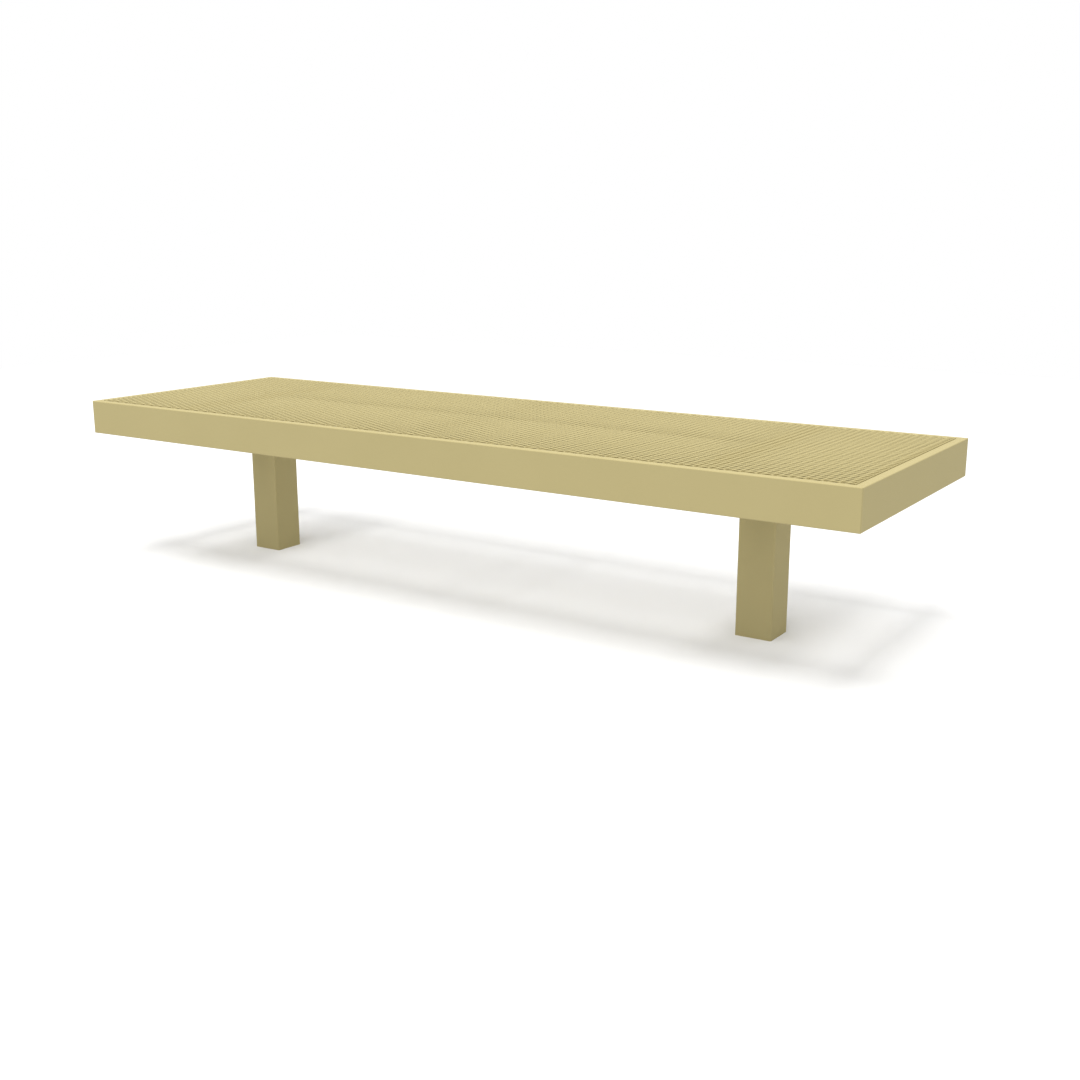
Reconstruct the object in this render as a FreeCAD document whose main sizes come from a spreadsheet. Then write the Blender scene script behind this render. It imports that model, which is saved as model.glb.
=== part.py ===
"""Backless bench on two square posts, with an expanded-metal seat in a tube frame.

Millimetres. The origin is on the ground under the middle of the seat, +X runs
along the bench, +Y to its rear and +Z up. The seat frame is bolted to the posts
from below, once the ground anchors have been tightened down the open posts.
The seat sheet stands a little above the rails that frame it.
"""

import FreeCAD, Part
import Sketcher
import os

SIZES = {
    # seat frame: rectangular tube, mitred at the corners
    "bench_length": 1980,
    "bench_width": 620,
    "seat_height": 392,
    "rail_depth": 80,
    "rail_width": 20,
    "rail_wall": 2,
    "rail_corner": 2,
    "frame_corner": 3,
    "vent_diameter": 8,
    "vent_from_end": 60,
    # expanded-metal sheet, and the flat bars that carry its edges
    "sheet_thickness": 5,
    "sheet_rise": 2,
    "ledge_width": 12,
    "ledge_thickness": 4,
    # tubes under the sheet over the posts, and flat bars on edge between them
    "bearer_width": 60,
    "bearer_depth": 40,
    "bearer_wall": 3,
    "bearer_corner": 4,
    "bar_thickness": 5,
    # posts, and the plates at both their ends
    "post_spacing": 1366,
    "post_side": 80,
    "post_wall": 3,
    "post_corner": 3,
    "plate_thickness": 8,
    "plate_corner": 8,
    "head_plate_width": 200,
    "head_opening": 60,
    "anchor_hole": 14,
    "anchor_spacing": 40,
    # hexagon bolts up through the head plates, with washers and insert nuts
    "bolt_diameter": 8,
    "bolt_shank": 25,
    "bolt_hole": 9,
    "bolt_spacing_along": 30,
    "bolt_spacing_across": 140,
    "thread_clearance": 0.2,
    "hexagon_flats": 13,
    "hexagon_height": 5.3,
    "washer_diameter": 16,
    "washer_thickness": 1.6,
    "sleeve_diameter": 11,
    "sleeve_length": 16,
    "collar_diameter": 15,
    "collar_thickness": 4,
}

# Lengths and levels that follow from the sheet
OPENING_LENGTH = "(sizes.bench_length - 2 * sizes.rail_width)"
OPENING_WIDTH = "(sizes.bench_width - 2 * sizes.rail_width)"
SHEET_UNDERSIDE = "(sizes.seat_height + sizes.sheet_rise - sizes.sheet_thickness)"
BEARER_MIDDLE = f"({SHEET_UNDERSIDE} - sizes.bearer_depth / 2)"
BEARER_UNDERSIDE = f"({SHEET_UNDERSIDE} - sizes.bearer_depth)"
POST_TOP = f"({BEARER_UNDERSIDE} - sizes.plate_thickness)"
POST_PLACE = "(sizes.post_spacing / 2)"
TINY = 1e-9

LEFT_AND_RIGHT = {"left": -1, "right": 1}

doc = FreeCAD.newDocument("backless_bench")
nodes = []


def fill_sheet():
    """Write every driving size into the sheet, with its name as the alias."""
    sheet = doc.addObject("Spreadsheet::Sheet", "sizes")
    for row, (name, value) in enumerate(SIZES.items(), start=1):
        sheet.set(f"A{row}", name)
        sheet.set(f"B{row}", str(value))
        sheet.setAlias(f"B{row}", name)
    doc.recompute()


# ---- helpers -------------------------------------------------------------------


def keep(item, label):
    """Count an object as a sub-part of the bench, under its own label."""
    item.Label = label
    nodes.append(item)
    return item


def bind(item, **formulas):
    """Bind an object's properties to the sheet."""
    for name, formula in formulas.items():
        item.setExpression(name, formula)


def put(item, x="0", y="0", z="0", turn=0):
    """Place an object by three formulas, turned about +Z by whole degrees."""
    item.Placement = FreeCAD.Placement(
        FreeCAD.Vector(0, 0, 0), FreeCAD.Rotation(FreeCAD.Vector(0, 0, 1), turn)
    )
    for axis, formula in zip("xyz", (x, y, z)):
        item.setExpression(f"Placement.Base.{axis}", formula)


def new_body(label):
    return keep(doc.addObject("PartDesign::Body", label), label)


def plane(body, role):
    """One of the body's own origin planes."""
    return next(f for f in body.Origin.OriginFeatures if f.Role == role)


def new_sketch(body, name, role):
    sketch = body.newObject("Sketcher::SketchObject", f"{body.Name}_{name}")
    sketch.AttachmentSupport = [(plane(body, role), "")]
    sketch.MapMode = "FlatFace"
    return sketch


def hold_point(sketch, item, point, place):
    """Hold a point of the sketch by its two distances from the sketch origin."""
    for axis, other_axis_line, formula in zip("XY", (-2, -1), place):
        value = float(sketch.evalExpression(formula))
        if abs(value) < TINY:
            on_axis = Sketcher.Constraint("PointOnObject", item, point, other_axis_line)
            sketch.addConstraint(on_axis)
            continue
        ends = (-1, 1, item, point) if value > 0 else (item, point, -1, 1)
        distance = Sketcher.Constraint(f"Distance{axis}", *ends, abs(value))
        index = sketch.addConstraint(distance)
        sketch.setExpression(f"Constraints[{index}]", f"abs({formula})")


def draw_outline(sketch, corners):
    """A closed outline of straight lines, each corner held by two formulas."""
    places = [[float(sketch.evalExpression(f)) for f in corner] for corner in corners]
    first = sketch.GeometryCount
    for here, there in zip(places, places[1:] + places[:1]):
        line = Part.LineSegment(FreeCAD.Vector(*here), FreeCAD.Vector(*there))
        sketch.addGeometry(line, False)
    for step, corner in enumerate(corners):
        before = first + (step - 1) % len(corners)
        joined = Sketcher.Constraint("Coincident", before, 2, first + step, 1)
        sketch.addConstraint(joined)
        hold_point(sketch, first + step, 1, corner)


def draw_rectangle(sketch, width, height):
    """A rectangle centred on the sketch origin."""
    signs = ((-1, -1), (1, -1), (1, 1), (-1, 1))
    draw_outline(sketch, [(f"{a} * {width} / 2", f"{b} * {height} / 2") for a, b in signs])


def draw_circle(sketch, diameter, x="0", y="0"):
    place = [float(sketch.evalExpression(formula)) for formula in (x, y)]
    radius = float(sketch.evalExpression(diameter)) / 2
    round_line = Part.Circle(FreeCAD.Vector(*place), FreeCAD.Vector(0, 0, 1), radius)
    item = sketch.addGeometry(round_line, False)
    index = sketch.addConstraint(Sketcher.Constraint("Diameter", item, 2 * radius))
    sketch.setExpression(f"Constraints[{index}]", diameter)
    hold_point(sketch, item, 3, (x, y))


def pad(body, sketch, length, both_ways=False):
    feature = body.newObject("PartDesign::Pad", f"{sketch.Name}_pad")
    feature.Profile = sketch
    feature.SideType = "Symmetric" if both_ways else "One side"
    bind(feature, Length=length)
    sketch.Visibility = False
    doc.recompute()
    return feature


def cut_through(body, sketch, both_ways=True):
    """Pocket a sketch through the whole body, and make sure that it cuts."""
    before = body.Shape.Volume
    feature = body.newObject("PartDesign::Pocket", f"{sketch.Name}_pocket")
    feature.Profile = sketch
    feature.Type = "ThroughAll"
    feature.SideType = "Symmetric" if both_ways else "One side"
    sketch.Visibility = False
    doc.recompute()
    if body.Shape.Volume > before - TINY:
        raise RuntimeError(f"{feature.Name} cuts nothing")
    return feature


def mirror(body, feature, role):
    """Repeat a feature on the other side of one of the body's origin planes."""
    mirrored = body.newObject("PartDesign::Mirrored", f"{feature.Name}_mirrored")
    mirrored.Originals = [feature]
    mirrored.MirrorPlane = (plane(body, role), [""])
    body.Tip = mirrored
    doc.recompute()


def round_long_edges(body, feature, direction, reach, radius):
    """Round the edges along one direction that lie at least this far off axis."""
    names = []
    for number, edge in enumerate(feature.Shape.Edges, start=1):
        along = edge.Vertexes[-1].Point - edge.Vertexes[0].Point
        off_axis = edge.CenterOfMass.cross(direction).Length
        if along.cross(direction).Length < TINY * 1000 and off_axis > reach:
            names.append(f"Edge{number}")
    fillet = body.newObject("PartDesign::Fillet", f"{feature.Name}_corners")
    fillet.Base = (feature, names)
    bind(fillet, Radius=radius)
    doc.recompute()


def tube(body, role, direction, sides, wall, corner, length, both_ways=True):
    """A tube of rectangular section, rounded along its outer corners."""
    sketch = new_sketch(body, "section", role)
    draw_rectangle(sketch, *sides)
    draw_rectangle(sketch, *(f"({side} - 2 * {wall})" for side in sides))
    feature = pad(body, sketch, length, both_ways)
    inner = [float(sketch.evalExpression(f"{side} / 2 - {wall}")) for side in sides]
    reach = FreeCAD.Vector(*inner).Length + TINY * 1000
    round_long_edges(body, feature, direction, reach, corner)


# ---- seat frame ----------------------------------------------------------------


def round_outer_corner(body, length):
    """Round the frame's upright corners: each rail has one half of the curve."""
    radius = "sizes.frame_corner"
    in_by = f"({radius} * (1 - sqrt(0.5)))"
    tip = (f"({length} / 2)", "(-1 * sizes.rail_width / 2)")
    start = (f"({tip[0]} - {radius})", tip[1])
    joint = (f"({tip[0]} - {in_by})", f"({tip[1]} + {in_by})")
    centre = (f"({tip[0]} - {radius})", f"({tip[1]} + {radius})")

    sketch = new_sketch(body, "corner", "XY_Plane")
    at_tip, at_start, at_joint, at_centre = (
        FreeCAD.Vector(*(float(sketch.evalExpression(f)) for f in place))
        for place in (tip, start, joint, centre)
    )
    between = (at_start + at_joint) * 0.5 - at_centre
    between = at_centre + between.normalize() * (at_start - at_centre).Length
    sketch.addGeometry(Part.LineSegment(at_tip, at_start), False)
    sketch.addGeometry(Part.Arc(at_start, between, at_joint), False)
    sketch.addGeometry(Part.LineSegment(at_joint, at_tip), False)
    for item in range(3):
        following = (item + 1) % 3
        meet = Sketcher.Constraint("Coincident", item, 2, following, 1)
        sketch.addConstraint(meet)
    hold_point(sketch, 0, 1, tip)
    hold_point(sketch, 1, 1, start)
    hold_point(sketch, 2, 1, joint)
    size = float(sketch.evalExpression(radius))
    index = sketch.addConstraint(Sketcher.Constraint("Radius", 1, size))
    sketch.setExpression(f"Constraints[{index}]", radius)
    mirror(body, cut_through(body, sketch), "YZ_Plane")


def mitred_rail(label, length, x="0", y="0", turn=0):
    """A rail along its own X, with its outer face at -Y and both ends at 45 degrees."""
    body = new_body(label)
    sides = ("sizes.rail_width", "sizes.rail_depth")
    along = FreeCAD.Vector(1, 0, 0)
    tube(body, "YZ_Plane", along, sides, "sizes.rail_wall", "sizes.rail_corner", length)

    # The cut's long side passes through the outer corner and the inner one
    end = new_sketch(body, "mitre", "XY_Plane")
    beyond = f"({length} / 2 + sizes.rail_width / 2)"
    inner = f"({length} / 2 - 1.5 * sizes.rail_width)"
    width = "sizes.rail_width"
    draw_outline(end, [(beyond, f"-1 * {width}"), (beyond, width), (inner, width)])
    mirror(body, cut_through(body, end), "YZ_Plane")
    round_outer_corner(body, length)

    # Drain and vent holes through the lower wall only
    vents = new_sketch(body, "vents", "XY_Plane")
    for sign in (-1, 1):
        place = f"{sign} * ({length} / 2 - sizes.vent_from_end)"
        draw_circle(vents, "sizes.vent_diameter", place)
    cut_through(body, vents, both_ways=False)
    put(body, x, y, "sizes.seat_height - sizes.rail_depth / 2", turn)


def make_rails():
    to_side = "(sizes.bench_width - sizes.rail_width) / 2"
    to_end = "(sizes.bench_length - sizes.rail_width) / 2"
    mitred_rail("side_rail_front", "sizes.bench_length", y=f"-1 * {to_side}")
    mitred_rail("side_rail_rear", "sizes.bench_length", y=to_side, turn=180)
    mitred_rail("end_rail_left", "sizes.bench_width", x=f"-1 * {to_end}", turn=-90)
    mitred_rail("end_rail_right", "sizes.bench_width", x=to_end, turn=90)


def flat_bar(label, length, width, thickness, x, y, z):
    """A plain rectangular bar, placed by its lowest corner."""
    bar = keep(doc.addObject("Part::Box", label), label)
    bind(bar, Length=length, Width=width, Height=thickness)
    put(bar, x, y, z)


def make_sheet_and_ledges():
    flat_bar(
        "deck_sheet", OPENING_LENGTH, OPENING_WIDTH, "sizes.sheet_thickness",
        f"-1 * {OPENING_LENGTH} / 2", f"-1 * {OPENING_WIDTH} / 2", SHEET_UNDERSIDE,
    )
    under = f"{SHEET_UNDERSIDE} - sizes.ledge_thickness"
    wide = "sizes.ledge_width"
    thick = "sizes.ledge_thickness"
    near_x = f"-1 * {OPENING_LENGTH} / 2"
    near_y = f"-1 * {OPENING_WIDTH} / 2"
    far_x = f"{OPENING_LENGTH} / 2 - {wide}"
    far_y = f"{OPENING_WIDTH} / 2 - {wide}"
    between = f"{OPENING_WIDTH} - 2 * {wide}"
    flat_bar("ledge_front", OPENING_LENGTH, wide, thick, near_x, near_y, under)
    flat_bar("ledge_rear", OPENING_LENGTH, wide, thick, near_x, far_y, under)
    flat_bar("ledge_left", wide, between, thick, near_x, f"{near_y} + {wide}", under)
    flat_bar("ledge_right", wide, between, thick, far_x, f"{near_y} + {wide}", under)


def cross_bearer(label, x):
    """A tube across the frame, over a post, notched at both ends for the ledges."""
    body = new_body(label)
    sides = ("sizes.bearer_width", "sizes.bearer_depth")
    across = FreeCAD.Vector(0, 1, 0)
    wall = "sizes.bearer_wall"
    tube(body, "XZ_Plane", across, sides, wall, "sizes.bearer_corner", OPENING_WIDTH)

    notch = new_sketch(body, "notch", "YZ_Plane")
    inner = f"({OPENING_WIDTH} / 2 - sizes.ledge_width)"
    beyond = f"({OPENING_WIDTH} / 2 + sizes.ledge_width)"
    low = "(sizes.bearer_depth / 2 - sizes.ledge_thickness)"
    above = "(sizes.bearer_depth / 2 + sizes.ledge_thickness)"
    draw_outline(notch, [(inner, low), (beyond, low), (beyond, above), (inner, above)])
    mirror(body, cut_through(body, notch), "XZ_Plane")

    # Holes for the insert nuts, through the lower wall only
    holes = new_sketch(body, "nut_holes", "XY_Plane")
    for along, side in bolt_places():
        draw_circle(holes, "sizes.sleeve_diameter", along, side)
    cut_through(body, holes, both_ways=False)
    put(body, x, z=BEARER_MIDDLE)


def cross_bar(label):
    """A flat bar on edge across the middle, notched at both ends for the ledges."""
    body = new_body(label)
    profile = new_sketch(body, "profile", "YZ_Plane")
    end = f"({OPENING_WIDTH} / 2)"
    inner = f"({OPENING_WIDTH} / 2 - sizes.ledge_width)"
    top = "(sizes.bearer_depth / 2)"
    low = "(sizes.bearer_depth / 2 - sizes.ledge_thickness)"
    rear = [(end, f"-1 * {top}"), (end, low), (inner, low), (inner, top)]
    front = [(f"-1 * {y}", z) for y, z in reversed(rear)]
    draw_outline(profile, rear + front)
    pad(body, profile, "sizes.bar_thickness", both_ways=True)
    put(body, z=BEARER_MIDDLE)


def spine(label, sign):
    """A flat bar on edge along the middle, from the cross bar to a bearer."""
    far = f"({POST_PLACE} - sizes.bearer_width / 2)"
    near = "(sizes.bar_thickness / 2)"
    length = f"({far} - {near})"
    start = f"{sign} * ({far} + {near}) / 2 - {length} / 2"
    thick = "sizes.bar_thickness"
    across = "-1 * sizes.bar_thickness / 2"
    deep = "sizes.bearer_depth"
    flat_bar(label, length, thick, deep, start, across, BEARER_UNDERSIDE)


# ---- posts and plates ----------------------------------------------------------


def bolt_places():
    """The four bolt places over a post, as pairs of formulas."""
    for a in (-1, 1):
        for b in (-1, 1):
            along = f"{a} * sizes.bolt_spacing_along / 2"
            yield along, f"{b} * sizes.bolt_spacing_across / 2"


def head_plate(label, x):
    """The plate on a post's top, with four bolt holes and an opening down the post."""
    body = new_body(label)
    outline = new_sketch(body, "outline", "XY_Plane")
    draw_rectangle(outline, "sizes.post_side", "sizes.head_plate_width")
    draw_circle(outline, "sizes.head_opening")
    feature = pad(body, outline, "sizes.plate_thickness")
    up = FreeCAD.Vector(0, 0, 1)
    reach = float(outline.evalExpression("sizes.head_plate_width / 2"))
    round_long_edges(body, feature, up, reach, "sizes.plate_corner")
    holes = new_sketch(body, "bolt_holes", "XY_Plane")
    for along, across in bolt_places():
        draw_circle(holes, "sizes.bolt_hole", along, across)
    cut_through(body, holes)
    put(body, x, z=POST_TOP)


def post(label, x):
    body = new_body(label)
    sides = ("sizes.post_side", "sizes.post_side")
    up = FreeCAD.Vector(0, 0, 1)
    corner = "sizes.post_corner"
    tube(body, "XY_Plane", up, sides, "sizes.post_wall", corner, POST_TOP, False)
    put(body, x)


def base_plate(label, x):
    """The plate inside a post's foot, flush with its end, with two anchor holes."""
    body = new_body(label)
    outline = new_sketch(body, "outline", "XY_Plane")
    side = "(sizes.post_side - 2 * sizes.post_wall)"
    draw_rectangle(outline, side, side)
    pad(body, outline, "sizes.plate_thickness")
    holes = new_sketch(body, "anchor_holes", "XY_Plane")
    for sign in (-1, 1):
        draw_circle(holes, "sizes.anchor_hole", f"{sign} * sizes.anchor_spacing / 2")
    cut_through(body, holes)
    put(body, x)


# ---- fixings -------------------------------------------------------------------


def set_of_four(name, kind, x, z, **formulas):
    """Four equal primitives at a plate's bolt places, joined into one object."""
    members = []
    for number, (along, across) in enumerate(bolt_places(), start=1):
        member = doc.addObject(kind, f"{name}_{number}")
        bind(member, **formulas)
        put(member, f"{x} + {along}", across, z)
        members.append(member)
    group = doc.addObject("Part::MultiFuse", name)
    group.Shapes = members
    return group


def combined(kind, name, base, tool):
    """A boolean of two sets of four."""
    result = doc.addObject(kind, name)
    result.Base = base
    result.Tool = tool
    return result


def make_fixings(side, x):
    """Bolts and washers under a head plate, and insert nuts in the bearer over it."""
    washer_z = f"{POST_TOP} - sizes.washer_thickness"
    head_z = f"{washer_z} - sizes.hexagon_height"
    collar_z = f"{BEARER_UNDERSIDE} + sizes.bearer_wall"
    thread = "(sizes.bolt_diameter + sizes.thread_clearance)"

    hexagon = {"Circumradius": "sizes.hexagon_flats / sqrt(3)"}
    hexagon["Height"] = "sizes.hexagon_height"
    heads = set_of_four(f"heads_{side}", "Part::Prism", x, head_z, **hexagon)
    rod = {"Radius": "sizes.bolt_diameter / 2"}
    rod["Height"] = "sizes.hexagon_height + sizes.bolt_shank"
    shanks = set_of_four(f"shanks_{side}", "Part::Cylinder", x, head_z, **rod)
    label = f"seat_bolts_{side}"
    keep(combined("Part::Fuse", label, heads, shanks), label)

    disc = {"Radius": "sizes.washer_diameter / 2", "Height": "sizes.washer_thickness"}
    discs = set_of_four(f"discs_{side}", "Part::Cylinder", x, washer_z, **disc)
    hole = {"Radius": "sizes.bolt_hole / 2", "Height": "sizes.washer_thickness"}
    holes = set_of_four(f"holes_{side}", "Part::Cylinder", x, washer_z, **hole)
    label = f"washers_{side}"
    keep(combined("Part::Cut", label, discs, holes), label)

    tube_of_nut = {"Radius": "sizes.sleeve_diameter / 2", "Height": "sizes.sleeve_length"}
    level = BEARER_UNDERSIDE
    sleeves = set_of_four(f"sleeves_{side}", "Part::Cylinder", x, level, **tube_of_nut)
    ring = {"Radius": "sizes.collar_diameter / 2", "Height": "sizes.collar_thickness"}
    collars = set_of_four(f"collars_{side}", "Part::Cylinder", x, collar_z, **ring)
    blanks = combined("Part::Fuse", f"nut_blanks_{side}", sleeves, collars)
    bore = {"Radius": f"{thread} / 2", "Height": "sizes.sleeve_length"}
    bores = set_of_four(f"nut_bores_{side}", "Part::Cylinder", x, level, **bore)
    label = f"insert_nuts_{side}"
    keep(combined("Part::Cut", label, blanks, bores), label)


# ---- build, test and write -----------------------------------------------------


def make_bench():
    make_rails()
    make_sheet_and_ledges()
    cross_bar("cross_bar_middle")
    for side, sign in LEFT_AND_RIGHT.items():
        x = f"{sign} * {POST_PLACE}"
        cross_bearer(f"cross_bearer_{side}", x)
        spine(f"spine_{side}", sign)
        head_plate(f"head_plate_{side}", x)
        post(f"post_{side}", x)
        base_plate(f"base_plate_{side}", x)
        make_fixings(side, x)


def test_document():
    """Stop if any object failed, or a sub-part's shape is missing or broken."""
    for item in doc.Objects:
        if {"Invalid", "Error"} & set(item.State):
            raise RuntimeError(f"{item.Label} failed: {item.State}")
    for node in nodes:
        if node.Shape.isNull() or not node.Shape.isValid() or not node.Shape.Solids:
            raise RuntimeError(f"{node.Label} has no sound solid")


def write_parts():
    os.makedirs("parts", exist_ok=True)
    for node in nodes:
        node.Shape.exportStep(f"parts/{node.Label}.step")
        box = node.Shape.BoundBox
        print(
            f"{node.Label:22s} solids {len(node.Shape.Solids)}"
            f"  volume {node.Shape.Volume / 1000:9.2f} cm3"
            f"  x {box.XMin:8.2f} {box.XMax:8.2f}"
            f"  y {box.YMin:8.2f} {box.YMax:8.2f}"
            f"  z {box.ZMin:8.2f} {box.ZMax:8.2f}"
        )


fill_sheet()
make_bench()
doc.recompute()
test_document()
write_parts()
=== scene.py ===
"""Backless street bench: an expanded-metal seat in a powder-coated tube frame."""

from math import cos, radians, sin

import bmesh
import bpy
from mathutils import Matrix, Vector


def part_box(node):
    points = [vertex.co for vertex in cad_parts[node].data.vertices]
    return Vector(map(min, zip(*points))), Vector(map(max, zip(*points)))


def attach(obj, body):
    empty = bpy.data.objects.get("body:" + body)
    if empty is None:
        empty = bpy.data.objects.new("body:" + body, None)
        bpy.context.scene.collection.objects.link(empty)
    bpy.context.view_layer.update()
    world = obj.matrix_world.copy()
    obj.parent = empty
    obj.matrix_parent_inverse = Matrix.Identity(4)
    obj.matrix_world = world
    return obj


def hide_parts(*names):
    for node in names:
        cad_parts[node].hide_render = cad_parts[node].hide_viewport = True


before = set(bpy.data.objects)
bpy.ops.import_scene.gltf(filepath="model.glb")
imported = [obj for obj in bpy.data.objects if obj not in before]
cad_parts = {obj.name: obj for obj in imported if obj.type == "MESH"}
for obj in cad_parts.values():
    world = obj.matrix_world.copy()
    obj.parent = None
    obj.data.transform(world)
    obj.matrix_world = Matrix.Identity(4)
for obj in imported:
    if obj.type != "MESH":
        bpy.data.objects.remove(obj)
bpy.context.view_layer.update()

MM = 0.001
SIDES = ("left", "right")

# Expanded metal: one opening repeats every long way by short way, staggered
LONG_WAY = 30.86 * MM
SHORT_WAY = 15.38 * MM
STRAND_WIDTH = 3.4 * MM
STRAND_THICKNESS = 3.0 * MM
BOND_LENGTH = 7.0 * MM
STRAND_LEAN = radians(-17.2)
STRAND_ROUNDING = 0.8 * MM
SHEET_SHIFT = Vector((5.3 * MM, 2.6 * MM, 0))

# Fillet welds, and the bolts under the posts' head plates
BEAD_RADIUS = 2.4 * MM
BEAD_STEP = 1.8 * MM
BEAD_RIPPLE = 1.14
BEAD_SIDES = 6
STITCH_LENGTH = 20 * MM
STITCH_SPACING = 150 * MM
BOLT_FLATS = 13 * MM
BOLT_HEAD = 5.3 * MM
BOLT_RADIUS = 4 * MM
BOLT_CHAMFER = 0.9 * MM
SHANK_SIDES = 20

# The expanded metal's edges sharper than this are rounded, and each tile is cut
# this share of a repeat off its middle, so that the cuts cross the strands cleanly
SHARP_EDGE = radians(50)
TILE_CUT = 0.27
SAME_PLACE = 0.01 * MM

# Studio: an even room, and one softbox overhead, forward of the bench
ROOM_LIGHT = 1.0
SOFTBOX_HEIGHT = 12.0
SOFTBOX_HALF_X = 0.28 * SOFTBOX_HEIGHT
SOFTBOX_NEAR = -0.57 * SOFTBOX_HEIGHT
SOFTBOX_FAR = -0.01 * SOFTBOX_HEIGHT
SOFTBOX_POWER = 1950
FLOOR_ALBEDO = 0.68
FLOOR_HALF = 5.0

CAMERA_PLACE = (1.7155, -2.3918, 0.8246)
CAMERA_DOWN = radians(13.732)
CAMERA_TURN = radians(33.404)
CAMERA_ANGLE = radians(45)


# ---- shader arithmetic ----------------------------------------------------------


class Socket:
    """An output socket that takes part in ordinary arithmetic."""

    def __init__(self, shader, output):
        self.shader = shader
        self.output = output

    def maths(self, operation, *terms):
        values = dict(enumerate(terms))
        return self.shader.node("ShaderNodeMath", {"operation": operation}, values)

    def __add__(self, other):
        return self.maths("ADD", self, other)

    __radd__ = __add__

    def __sub__(self, other):
        return self.maths("SUBTRACT", self, other)

    def __rsub__(self, other):
        return self.maths("SUBTRACT", other, self)

    def __mul__(self, other):
        return self.maths("MULTIPLY", self, other)

    __rmul__ = __mul__

    def __truediv__(self, other):
        return self.maths("DIVIDE", self, other)

    def size(self):
        return self.maths("ABSOLUTE", self)

    def clamped(self):
        return self.maths("MINIMUM", self.maths("MAXIMUM", self, 0.0), 1.0)


class Shader:
    """One material's node tree, with short ways to add to it."""

    def __init__(self, name):
        self.material = bpy.data.materials.new(name)
        self.material.use_nodes = True
        self.tree = self.material.node_tree
        self.surface = self.tree.nodes["Principled BSDF"]

    def node(self, kind, settings=None, inputs=None, output=0):
        """Add a node, give it its settings and inputs, and return one output."""
        made = self.tree.nodes.new(kind)
        for name, value in (settings or {}).items():
            setattr(made, name, value)
        for name, value in (inputs or {}).items():
            self.feed(made.inputs[name], value)
        return Socket(self, made.outputs[output])

    def feed(self, target, value):
        if isinstance(value, Socket):
            self.tree.links.new(value.output, target)
        else:
            target.default_value = value

    def finish(self, **sockets):
        for name, value in sockets.items():
            self.feed(self.surface.inputs[name.replace("_", " ")], value)
        return self.material

    def place(self):
        """Object coordinates, in metres."""
        return self.node("ShaderNodeTexCoord", output="Object")

    def along(self, axis):
        """One of the object coordinates."""
        values = {"Vector": self.place()}
        return self.node("ShaderNodeSeparateXYZ", {}, values, axis)

    def noise(self, where, scale, detail=2.0):
        values = {"Vector": where, "Scale": scale, "Detail": detail}
        return self.node("ShaderNodeTexNoise", {}, values)

    def blend(self, share, first, second):
        """Mix two colours."""
        values = {"Factor": share, 6: first, 7: second}
        settings = {"data_type": "RGBA"}
        return self.node("ShaderNodeMix", settings, values, output=2)

    def bump(self, height, distance, strength=1.0):
        values = {"Height": height, "Distance": distance, "Strength": strength}
        return self.node("ShaderNodeBump", {}, values, output="Normal")


# ---- finishes -------------------------------------------------------------------

SAND_THIN = (0.361, 0.308, 0.151, 1.0)
SAND_DEEP = (0.341, 0.290, 0.139, 1.0)
# Pale tint, part dust and part painted light that brightens the shaded deck
PALE_DUST_AND_LIGHT = (0.52, 0.47, 0.30, 1.0)
SEAM_DARK = (0.27, 0.23, 0.11, 1.0)
ZINC_BLUE = (0.62, 0.63, 0.66, 1.0)
ZINC_YELLOW = (0.72, 0.70, 0.62, 1.0)

COAT_ROUGHNESS = 0.6
COAT_GLOSS = 0.1
# Share of the pale tint on the deck: partly dust, partly painted light lifting the
# deck's shade
DECK_DUST_AND_PAINTED_LIGHT = 0.06
PEEL_DEPTH = 0.05 * MM
SEAM_DEPTH = 3.0
SEAM_HALF_WIDTH = 0.35 * MM
ZINC_ROUGHNESS = 0.32
ZINC_GRAIN_DEPTH = 0.02 * MM

# How finely each pattern is drawn, in repeats per metre
CLOUDS = 6.0
SWELL = 110.0
PEEL = 420.0
SPECKS = 900.0
ZINC_TINTS = 90.0
ZINC_GRAIN = 1500.0

# Where specks begin, and a slope steep enough to make a mask a plain yes or no
SPECK_LEVEL = 0.62
STEEP = 1000


def mitre_seam(coat):
    """How near a point is to the joint of two mitred rails: 1 on it, 0 away."""
    low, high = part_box("side_rail_front")
    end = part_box("end_rail_right")[1].x
    from_end = end - coat.along("X").size()
    from_side = abs(low.y) - coat.along("Y").size()
    off_joint = (from_end - from_side).size() / SEAM_HALF_WIDTH
    in_corner = (1.0 - from_end / (high.y - low.y)).clamped() * STEEP
    return (1.5 - off_joint).clamped() * in_corner.clamped()


def powder_coat(name, dust_and_painted_light=0.0, seams=False):
    """Satin sand-green powder coat: faint orange peel and a little cloudiness.

    dust_and_painted_light is how far the colour goes towards a pale tint, which is
    part dust and wear and part painted light that makes the deck lighter than its
    shading gives, and seams draws the joints of the mitred rails.
    """
    coat = Shader(name)
    where = coat.place()
    clouds = coat.noise(where, CLOUDS, detail=3.0)
    specks = coat.noise(where, SPECKS, detail=1.0)
    peel = coat.noise(where, PEEL, detail=1.5)
    swell = coat.noise(where, SWELL, detail=1.0)
    colour = coat.blend(clouds, SAND_DEEP, SAND_THIN)
    colour = coat.blend((specks - SPECK_LEVEL).clamped() * 0.8, colour, SAND_THIN)
    height = peel * 0.6 + swell * 0.4
    # Pale tint on the deck: dust, and painted light that brightens its shade
    if dust_and_painted_light:
        colour = coat.blend((clouds * 0.4 + 0.8) * dust_and_painted_light, colour, PALE_DUST_AND_LIGHT)
    if seams:
        seam = mitre_seam(coat)
        colour = coat.blend(seam * 0.5, colour, SEAM_DARK)
        height = height - seam * SEAM_DEPTH
    return coat.finish(
        Base_Color=colour,
        Roughness=clouds * 0.10 + COAT_ROUGHNESS,
        Specular_IOR_Level=COAT_GLOSS,
        Normal=coat.bump(height, PEEL_DEPTH, 0.5),
    )


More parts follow.
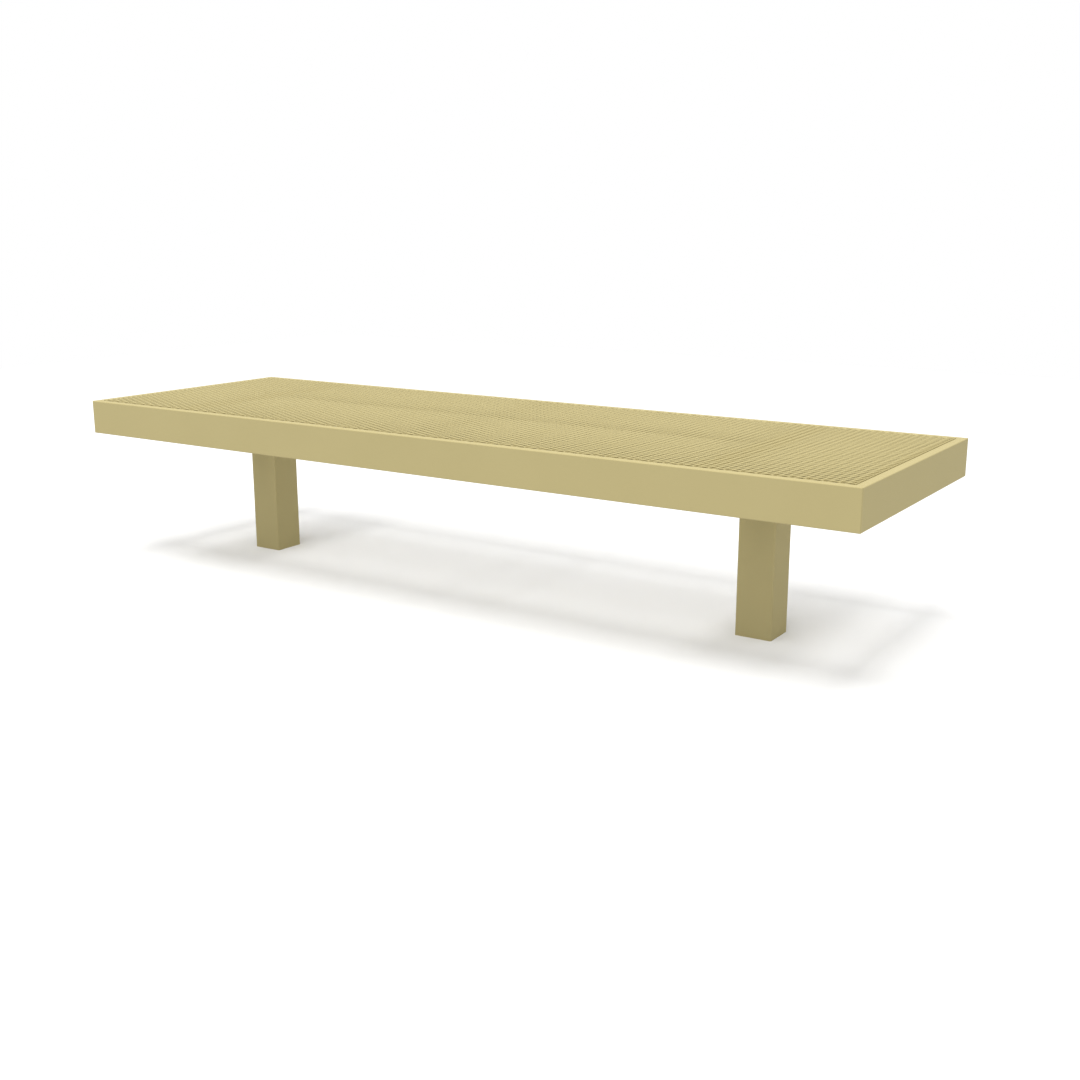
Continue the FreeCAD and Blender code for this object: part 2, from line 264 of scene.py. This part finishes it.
def zinc_plate():
    """Dull bright zinc with a fine grain and passivation tints."""
    zinc = Shader("zinc_plate")
    where = zinc.place()
    tint = zinc.noise(where, ZINC_TINTS)
    grain = zinc.noise(where, ZINC_GRAIN, detail=1.0)
    return zinc.finish(
        Base_Color=zinc.blend(tint, ZINC_BLUE, ZINC_YELLOW),
        Metallic=1.0,
        Roughness=grain * 0.15 + ZINC_ROUGHNESS,
        Normal=zinc.bump(grain, ZINC_GRAIN_DEPTH, 0.4),
    )


# ---- mesh helpers ---------------------------------------------------------------


def new_piece(name, mesh, material, node=None):
    """Finish a bmesh as a piece of the bench that rides on its one body."""
    data = bpy.data.meshes.new(name)
    mesh.to_mesh(data)
    mesh.free()
    data.materials.append(material)
    piece = bpy.data.objects.new(name, data)
    bpy.context.scene.collection.objects.link(piece)
    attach(piece, "root")
    if node:
        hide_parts(node)
    return piece


def everything(mesh):
    return [*mesh.verts, *mesh.edges, *mesh.faces]


def cut_away(mesh, point, outwards, fill=False):
    """Remove what lies beyond a plane, and close the cut if asked."""
    bmesh.ops.bisect_plane(
        mesh, geom=everything(mesh), dist=1e-7,
        plane_co=point, plane_no=outwards, clear_outer=True,
    )
    if fill:
        open_edges = [edge for edge in mesh.edges if edge.is_boundary]
        bmesh.ops.holes_fill(mesh, edges=open_edges, sides=0)


def laid_out(tile, columns, rows):
    """Lay a tile out in columns and rows about the origin, and join the seams."""
    data = bpy.data.meshes.new("tile")
    tile.to_mesh(data)
    tile.free()
    layout = bpy.data.objects.new("tile", data)
    bpy.context.scene.collection.objects.link(layout)
    for step, count in (((LONG_WAY, 0, 0), columns), ((0, SHORT_WAY, 0), rows)):
        array = layout.modifiers.new("array", "ARRAY")
        array.count = count
        array.use_relative_offset = False
        array.use_constant_offset = True
        array.constant_offset_displace = step
    sheet = bmesh.new()
    sheet.from_object(layout, bpy.context.evaluated_depsgraph_get())
    bpy.data.objects.remove(layout)
    back = Vector((-(columns // 2) * LONG_WAY, -(rows // 2) * SHORT_WAY, 0))
    bmesh.ops.translate(sheet, verts=sheet.verts, vec=back)
    bmesh.ops.remove_doubles(sheet, verts=sheet.verts, dist=SAME_PLACE)
    return sheet


# ---- expanded-metal deck ----------------------------------------------------------


def bond_with_strands(mesh, centre):
    """A leaning bond plate with the two strands that leave its right-hand end."""
    half_rise = STRAND_WIDTH * sin(STRAND_LEAN)
    half_depth = STRAND_WIDTH * cos(STRAND_LEAN)
    plate = bmesh.ops.create_grid(mesh, x_segments=1, y_segments=2, size=0.5)["verts"]
    for vert in plate:
        across = 2 * vert.co.y
        along = vert.co.x * BOND_LENGTH
        vert.co = centre + Vector((along, across * half_depth, across * half_rise))
    reach = LONG_WAY / 2 - BOND_LENGTH
    right = [vert for vert in plate if vert.co.x > centre.x]
    low, middle, high = sorted(right, key=lambda vert: vert.co.y)
    half_way = SHORT_WAY / 2
    step_up = Vector((reach, half_way - half_depth, -half_rise))
    step_down = Vector((reach, half_depth - half_way, half_rise))
    for ends, step in (((middle, high), step_up), ((low, middle), step_down)):
        edge = mesh.edges.get(ends)
        grown = bmesh.ops.extrude_edge_only(mesh, edges=[edge])["geom"]
        moved = [item for item in grown if isinstance(item, bmesh.types.BMVert)]
        bmesh.ops.translate(mesh, verts=moved, vec=step)


def mesh_tile():
    """One repeat of the expanded metal, centred on an opening, cut on all sides."""
    mesh = bmesh.new()
    for column in range(-2, 3):
        for row in range(-2, 3):
            corner = Vector((column * LONG_WAY, row * SHORT_WAY, 0))
            bond_with_strands(mesh, corner + Vector((LONG_WAY / 2, 0, 0)))
            bond_with_strands(mesh, corner + Vector((0, SHORT_WAY / 2, 0)))
    bmesh.ops.remove_doubles(mesh, verts=mesh.verts, dist=SAME_PLACE)
    bmesh.ops.recalc_face_normals(mesh, faces=mesh.faces)
    if sum(face.normal.z for face in mesh.faces) < 0:
        bmesh.ops.reverse_faces(mesh, faces=mesh.faces)
    bmesh.ops.solidify(mesh, geom=everything(mesh), thickness=STRAND_THICKNESS)
    mesh.normal_update()
    sharp = [
        edge for edge in mesh.edges
        if edge.is_manifold and edge.calc_face_angle() > SHARP_EDGE
    ]
    bmesh.ops.bevel(
        mesh, geom=sharp, offset=STRAND_ROUNDING, affect="EDGES", segments=1,
        profile=0.5, material=-1, offset_type="OFFSET", clamp_overlap=True,
    )
    x, y = LONG_WAY * TILE_CUT, SHORT_WAY * TILE_CUT
    cut_away(mesh, (x, 0, 0), (1, 0, 0))
    cut_away(mesh, (x - LONG_WAY, 0, 0), (-1, 0, 0))
    cut_away(mesh, (0, y, 0), (0, 1, 0))
    cut_away(mesh, (0, y - SHORT_WAY, 0), (0, -1, 0))
    return mesh


def make_deck(material):
    """The seat: one sheet, cut to the frame's opening, kept as three panels."""
    low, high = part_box("deck_sheet")
    columns = 2 * int((high.x - low.x) / LONG_WAY / 2 + 1) + 1
    rows = 2 * int((high.y - low.y) / SHORT_WAY / 2 + 1) + 1
    mesh = laid_out(mesh_tile(), columns, rows)
    bmesh.ops.translate(mesh, verts=mesh.verts, vec=SHEET_SHIFT)
    top = max(vert.co.z for vert in mesh.verts)
    bmesh.ops.translate(mesh, verts=mesh.verts, vec=(0, 0, high.z - top))
    for point, outwards in (
        (low, (0, -1, 0)), (high, (0, 1, 0)), (low, (-1, 0, 0)), (high, (1, 0, 0)),
    ):
        cut_away(mesh, point, outwards, fill=True)
    third = (high.x - low.x) / 3
    for number, name in enumerate(("left", "middle", "right")):
        panel = mesh.copy()
        start = low.x + number * third
        if number > 0:
            cut_away(panel, (start, 0, 0), (-1, 0, 0), fill=True)
        if number < 2:
            cut_away(panel, (start + third, 0, 0), (1, 0, 0), fill=True)
        new_piece(f"deck_mesh_{name}", panel, material, "deck_sheet")
    mesh.free()


# ---- welds and bolts ----------------------------------------------------------------


def add_bead(mesh, start, end):
    """A rippled weld bead along a straight line."""
    start, end = Vector(start), Vector(end)
    steps = max(2, round((end - start).length / BEAD_STEP))
    step = (end - start) / steps
    turn = step.to_track_quat("Z", "X").to_matrix().to_4x4()
    ring = bmesh.ops.create_circle(
        mesh, segments=BEAD_SIDES, radius=BEAD_RADIUS,
        matrix=Matrix.Translation(start) @ turn,
    )["verts"]
    edges = list({edge for vert in ring for edge in vert.link_edges})
    for number in range(1, steps + 1):
        grown = bmesh.ops.extrude_edge_only(mesh, edges=edges)["geom"]
        ring = [item for item in grown if isinstance(item, bmesh.types.BMVert)]
        last = set(ring)
        edges = [
            item for item in grown
            if isinstance(item, bmesh.types.BMEdge) and set(item.verts) <= last
        ]
        bmesh.ops.translate(mesh, verts=ring, vec=step)
        factor = BEAD_RIPPLE if number % 2 else 1 / BEAD_RIPPLE
        centre = Matrix.Translation(-(start + step * number))
        bmesh.ops.scale(mesh, verts=ring, vec=(factor, factor, factor), space=centre)


def close_beads(mesh):
    """Close every bead's two ends, turn all faces outwards and shade them smooth."""
    open_edges = [edge for edge in mesh.edges if edge.is_boundary]
    bmesh.ops.holes_fill(mesh, edges=open_edges, sides=0)
    bmesh.ops.recalc_face_normals(mesh, faces=mesh.faces)
    for face in mesh.faces:
        face.smooth = True
    return mesh


def weld_upright_ends(mesh, name, along):
    """Beads down both sides of a bar, at both of its ends along X or along Y."""
    low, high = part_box(name)
    top = high.z - 3 * BEAD_RADIUS
    for end in (low, high):
        for side in (low, high):
            corner = (end.x, side.y) if along == "x" else (side.x, end.y)
            add_bead(mesh, (*corner, low.z), (*corner, top))


def make_frame_welds(material):
    """Beads of the bearers and bars, and stitches under the ledges."""
    mesh = bmesh.new()
    for name in ("cross_bearer_left", "cross_bar_middle", "cross_bearer_right"):
        weld_upright_ends(mesh, name, "y")
        low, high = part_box(name)
        for y in (low.y, high.y):
            add_bead(mesh, (low.x, y, low.z), (high.x, y, low.z))
    for side in SIDES:
        weld_upright_ends(mesh, f"spine_{side}", "x")
    half = STITCH_LENGTH / 2
    for name, pick in (("ledge_front", 0), ("ledge_rear", 1)):
        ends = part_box(name)
        y = ends[pick].y
        count = int((ends[1].x - ends[0].x) / STITCH_SPACING)
        for number in range(count):
            x = (number - (count - 1) / 2) * STITCH_SPACING
            add_bead(mesh, (x - half, y, ends[0].z), (x + half, y, ends[0].z))
    for name, pick in (("ledge_left", 0), ("ledge_right", 1)):
        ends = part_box(name)
        x = ends[pick].x
        for y in (-STITCH_SPACING, 0, STITCH_SPACING):
            add_bead(mesh, (x, y - half, ends[0].z), (x, y + half, ends[0].z))
    new_piece("frame_welds", close_beads(mesh), material)


def make_post_welds(material):
    """A bead along the front and the back of each post's top, under its head plate."""
    mesh = bmesh.new()
    for side in SIDES:
        low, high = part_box(f"post_{side}")
        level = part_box(f"head_plate_{side}")[0].z
        for y in (low.y, high.y):
            add_bead(mesh, (low.x, y, level), (high.x, y, level))
    new_piece("post_welds", close_beads(mesh), material)


def make_seat_bolts(side, material):
    """Four hexagon bolts with chamfered heads, at the places of the plain ones."""
    low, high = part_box(f"seat_bolts_{side}")
    corner = BOLT_FLATS / 2 / cos(radians(30))
    mesh = bmesh.new()
    for x in (low.x + corner, high.x - corner):
        for y in (low.y + BOLT_FLATS / 2, high.y - BOLT_FLATS / 2):
            middle = Vector((x, y, low.z + BOLT_HEAD / 2))
            head = bmesh.ops.create_cone(
                mesh, cap_ends=True, segments=6, radius1=corner, radius2=corner,
                depth=BOLT_HEAD, matrix=Matrix.Translation(middle)
                @ Matrix.Rotation(radians(30), 4, "Z"),
            )["verts"]
            under = [vert for vert in head if vert.co.z < middle.z]
            rim = {edge for vert in under for edge in vert.link_edges}
            rim = [edge for edge in rim if all(vert in under for vert in edge.verts)]
            bmesh.ops.bevel(
                mesh, geom=rim, offset=BOLT_CHAMFER, affect="EDGES", segments=1,
                profile=0.5, material=-1,
            )
            start = low.z + BOLT_HEAD / 2
            middle = Vector((x, y, (start + high.z) / 2))
            bmesh.ops.create_cone(
                mesh, cap_ends=True, segments=SHANK_SIDES, radius1=BOLT_RADIUS,
                radius2=BOLT_RADIUS, depth=high.z - start,
                matrix=Matrix.Translation(middle),
            )
    bmesh.ops.recalc_face_normals(mesh, faces=mesh.faces)
    name = f"seat_bolts_{side}"
    new_piece(f"bolts_{side}", mesh, material, name)


# ---- stage ------------------------------------------------------------------------


def make_floor():
    mesh = bmesh.new()
    bmesh.ops.create_grid(mesh, x_segments=1, y_segments=1, size=FLOOR_HALF)
    data = bpy.data.meshes.new("floor")
    mesh.to_mesh(data)
    mesh.free()
    paper = Shader("floor_paper")
    finish = paper.finish(
        Base_Color=(FLOOR_ALBEDO, FLOOR_ALBEDO, FLOOR_ALBEDO, 1),
        Roughness=1.0,
        Specular_IOR_Level=0.0,
    )
    data.materials.append(finish)
    floor = bpy.data.objects.new("floor", data)
    bpy.context.scene.collection.objects.link(floor)


def make_softbox():
    data = bpy.data.lights.new("softbox", "AREA")
    data.shape = "RECTANGLE"
    data.size = 2 * SOFTBOX_HALF_X
    data.size_y = SOFTBOX_FAR - SOFTBOX_NEAR
    data.energy = SOFTBOX_POWER
    softbox = bpy.data.objects.new("softbox", data)
    softbox.location = (0, (SOFTBOX_NEAR + SOFTBOX_FAR) / 2, SOFTBOX_HEIGHT)
    bpy.context.scene.collection.objects.link(softbox)


def make_room():
    """An even white room, which is also the backdrop."""
    world = bpy.data.worlds.new("soft_room")
    world.use_nodes = True
    even = world.node_tree.nodes["Background"]
    even.inputs["Color"].default_value = (1, 1, 1, 1)
    even.inputs["Strength"].default_value = ROOM_LIGHT
    bpy.context.scene.world = world


def make_stage():
    scene = bpy.context.scene
    scene.view_settings.view_transform = "Standard"
    make_floor()
    make_room()
    make_softbox()

    lens = bpy.data.cameras.new("camera")
    lens.angle = CAMERA_ANGLE
    camera = bpy.data.objects.new("camera", lens)
    camera.location = CAMERA_PLACE
    camera.rotation_euler = (radians(90) - CAMERA_DOWN, 0, CAMERA_TURN)
    scene.collection.objects.link(camera)
    scene.camera = camera


# ---- the bench ----------------------------------------------------------------------

coat = powder_coat("powder_coat")
rail_coat = powder_coat("rail_coat", seams=True)
deck_coat = powder_coat("deck_coat", dust_and_painted_light=DECK_DUST_AND_PAINTED_LIGHT)
zinc = zinc_plate()
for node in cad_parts.values():
    finish = coat
    if node.name.startswith(("side_rail", "end_rail")):
        finish = rail_coat
    if node.name.startswith(("seat_bolts", "washers", "insert_nuts")):
        finish = zinc
    node.data.materials.clear()
    node.data.materials.append(finish)

make_deck(deck_coat)
make_frame_welds(coat)
make_post_welds(coat)
for side in SIDES:
    make_seat_bolts(side, zinc)
make_stage()
